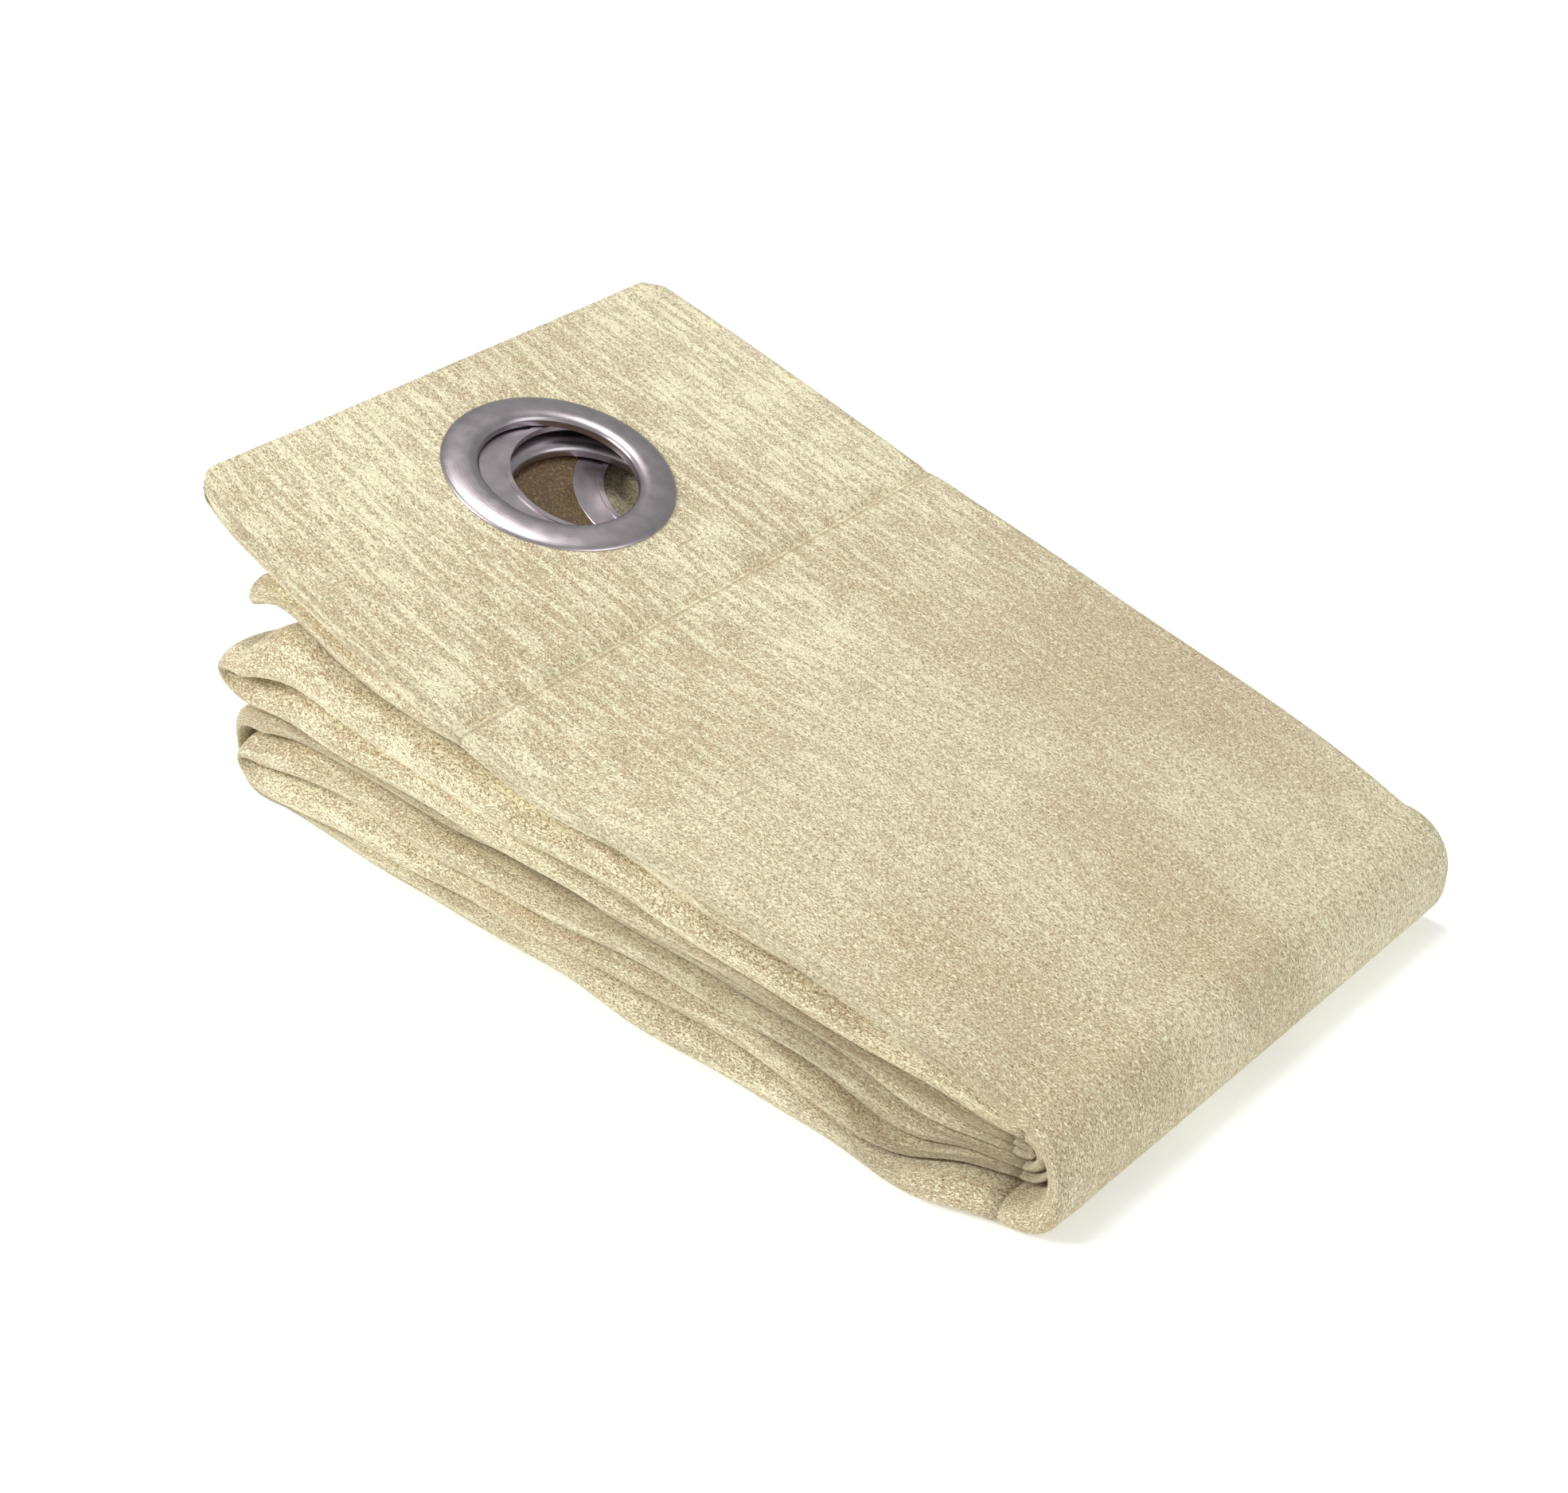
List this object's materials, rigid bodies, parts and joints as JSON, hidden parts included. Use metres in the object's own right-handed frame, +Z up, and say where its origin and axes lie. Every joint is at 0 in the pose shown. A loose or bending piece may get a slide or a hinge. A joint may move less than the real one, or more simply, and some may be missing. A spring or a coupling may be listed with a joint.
{
  "type": "folded eyelet curtain panel",
  "caption": "Eyelet curtain panel folded into a flat package, with metal rings in its header and an upper half that opens like a book.",
  "frame": {"origin": "middle of the package's footprint, on the surface that it lies on", "axes": "+X from the header edge to the right-hand turns, +Y from the near folded edge to the far edge, +Z up"},
  "size_m": [0.256, 0.1669, 0.1038],
  "materials": {
    "cloth": "satin jacquard, champagne ground with cream flecks",
    "ring": "satin nickel plate",
    "tape": "stiff non-woven tape",
    "thread": "matt sewing thread"
  },
  "bodies": {
    "lower_half": {"strip_fifth": "cloth", "strip_sixth": "cloth", "strip_seventh": "cloth", "strip_base": "cloth", "nose_inner": "cloth", "nose_outer": "cloth", "turn_outer": "cloth", "turn_second": "cloth", "turn_third": "cloth", "turn_inner": "cloth"},
    "upper_half": {"header_leaves": "cloth", "strip_top": "cloth", "strip_hem": "cloth", "strip_third": "cloth", "strip_fourth": "cloth", "nose_upper": "cloth", "header_tape": "tape", "header_seam_thread": "thread", "hem_seam_thread": "thread", "eyelet_front_1": "ring", "eyelet_front_2": "ring", "eyelet_front_3": "ring", "eyelet_front_4": "ring", "eyelet_front_5": "ring", "eyelet_front_6": "ring", "eyelet_front_7": "ring", "eyelet_front_8": "ring", "eyelet_back_1": "ring", "eyelet_back_2": "ring", "eyelet_back_3": "ring", "eyelet_back_4": "ring", "eyelet_back_5": "ring", "eyelet_back_6": "ring", "eyelet_back_7": "ring", "eyelet_back_8": "ring"}
  },
  "joints": [
    {"name": "unfold", "type": "hinge", "parent": "lower_half", "child": "upper_half", "pos_m": [0.114, 0, 0.014], "axis": [0, 1, 0], "range_deg": [0, 150], "deforming": ["turn_outer", "turn_second", "turn_third", "turn_inner"]}
  ]
}
